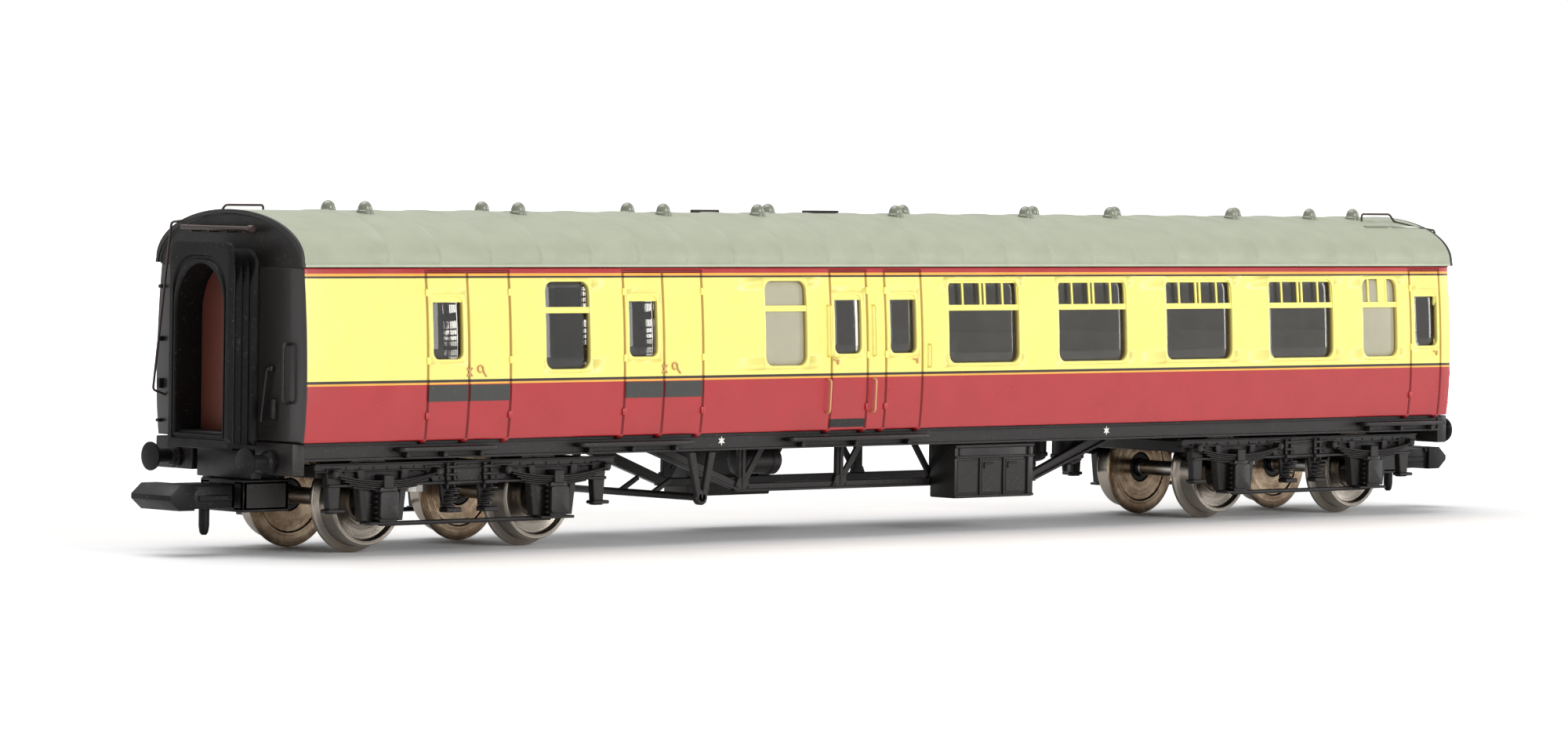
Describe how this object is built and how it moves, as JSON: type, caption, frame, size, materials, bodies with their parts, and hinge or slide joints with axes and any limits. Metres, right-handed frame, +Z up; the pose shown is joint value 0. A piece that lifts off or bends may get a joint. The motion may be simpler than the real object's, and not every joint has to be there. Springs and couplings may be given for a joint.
{
  "type": "model passenger coach",
  "caption": "Small-scale model passenger coach in crimson and cream, with swivelling bogies, free-rolling wheelsets, lifting couplers, gangways and a ribbed grey roof.",
  "frame": {"origin": "centre of the coach on plan, at the level of the wheel flanges' lowest points", "axes": "+X along the coach from the luggage van end to the passenger end, +Y towards the corridor side, +Z up"},
  "size_m": [0.1478, 0.0196, 0.027],
  "materials": {
    "crimson_and_cream": "satin moulded body, crimson below cream, lined in gold and black",
    "roof_grey": "satin grey-green moulding",
    "underframe_black": "satin black moulding",
    "clear_glazing": "clear polished strip",
    "seating_brown": "dull moulding",
    "door_brown": "satin paint",
    "bright_steel": "bright turned or drawn steel",
    "wheel_nickel": "nickel plated, dulled on the faces",
    "bush_black": "dull moulding"
  },
  "bodies": {
    "coach": {"body_shell": "crimson_and_cream", "roof": "roof_grey", "glazing_compartment_side": "clear_glazing", "glazing_corridor_side": "clear_glazing", "seating_unit": "seating_brown", "ballast_weight": "bright_steel", "gangway_van_end": "underframe_black", "roof_handrail_van_end": "underframe_black", "grab_handle_van_end": "underframe_black", "buffer_van_end_near": "underframe_black", "buffer_van_end_far": "underframe_black", "corridor_door_van_end": "door_brown", "gangway_passenger_end": "underframe_black", "roof_handrail_passenger_end": "underframe_black", "grab_handle_passenger_end": "underframe_black", "buffer_passenger_end_near": "underframe_black", "buffer_passenger_end_far": "underframe_black", "corridor_door_passenger_end": "door_brown", "underframe": "underframe_black", "truss_compartment_side": "underframe_black", "truss_corridor_side": "underframe_black", "brake_cross_shaft": "underframe_black", "battery_box_compartment_side": "underframe_black", "battery_box_corridor_side": "underframe_black", "vacuum_cylinder_1": "underframe_black", "vacuum_cylinder_2": "underframe_black", "dynamo": "underframe_black", "pivot_screw_1": "bright_steel", "pivot_screw_2": "bright_steel"},
    "bogie_1": {"bogie_frame_1": "underframe_black"},
    "wheelset_1": {"axle_1": "bright_steel", "wheel_1_near": "wheel_nickel", "wheel_1_far": "wheel_nickel", "wheel_bush_1": "bush_black"},
    "wheelset_2": {"axle_2": "bright_steel", "wheel_2_near": "wheel_nickel", "wheel_2_far": "wheel_nickel", "wheel_bush_2": "bush_black"},
    "coupler_swing_1": {"coupler_spring_1": "bright_steel"},
    "coupler_hook_1": {"coupler_1": "underframe_black"},
    "bogie_2": {"bogie_frame_2": "underframe_black"},
    "wheelset_3": {"axle_3": "bright_steel", "wheel_3_near": "wheel_nickel", "wheel_3_far": "wheel_nickel", "wheel_bush_3": "bush_black"},
    "wheelset_4": {"axle_4": "bright_steel", "wheel_4_near": "wheel_nickel", "wheel_4_far": "wheel_nickel", "wheel_bush_4": "bush_black"},
    "coupler_swing_2": {"coupler_spring_2": "bright_steel"},
    "coupler_hook_2": {"coupler_2": "underframe_black"}
  },
  "joints": [
    {"name": "van_end_bogie_swivel", "type": "hinge", "parent": "coach", "child": "bogie_1", "pos_m": [-0.0485, 0, 0.0072], "axis": [0, 0, 1], "range_deg": [-12, 12]},
    {"name": "wheelset_1_roll", "type": "hinge", "parent": "bogie_1", "child": "wheelset_1", "pos_m": [-0.05725, 0, 0.00415], "axis": [0, 1, 0], "continuous": true},
    {"name": "wheelset_2_roll", "type": "hinge", "parent": "bogie_1", "child": "wheelset_2", "pos_m": [-0.03975, 0, 0.00415], "axis": [0, 1, 0], "continuous": true},
    {"name": "van_end_coupler_swing", "type": "hinge", "parent": "bogie_1", "child": "coupler_swing_1", "pos_m": [-0.065, 0, 0.00455], "axis": [0, 0, 1], "range_deg": [-5, 5], "stiffness_Nm_per_rad": 0.0001},
    {"name": "van_end_coupler_lift", "type": "hinge", "parent": "coupler_swing_1", "child": "coupler_hook_1", "pos_m": [-0.065, 0, 0.00455], "axis": [0, 1, 0], "range_deg": [0, 8], "stiffness_Nm_per_rad": 0.0001},
    {"name": "passenger_end_bogie_swivel", "type": "hinge", "parent": "coach", "child": "bogie_2", "pos_m": [0.0485, 0, 0.0072], "axis": [0, 0, 1], "range_deg": [-12, 12]},
    {"name": "wheelset_3_roll", "type": "hinge", "parent": "bogie_2", "child": "wheelset_3", "pos_m": [0.03975, 0, 0.00415], "axis": [0, 1, 0], "continuous": true},
    {"name": "wheelset_4_roll", "type": "hinge", "parent": "bogie_2", "child": "wheelset_4", "pos_m": [0.05725, 0, 0.00415], "axis": [0, 1, 0], "continuous": true},
    {"name": "passenger_end_coupler_swing", "type": "hinge", "parent": "bogie_2", "child": "coupler_swing_2", "pos_m": [0.065, 0, 0.00455], "axis": [0, 0, 1], "range_deg": [-5, 5], "stiffness_Nm_per_rad": 0.0001},
    {"name": "passenger_end_coupler_lift", "type": "hinge", "parent": "coupler_swing_2", "child": "coupler_hook_2", "pos_m": [0.065, 0, 0.00455], "axis": [0, -1, 0], "range_deg": [0, 8], "stiffness_Nm_per_rad": 0.0001}
  ]
}
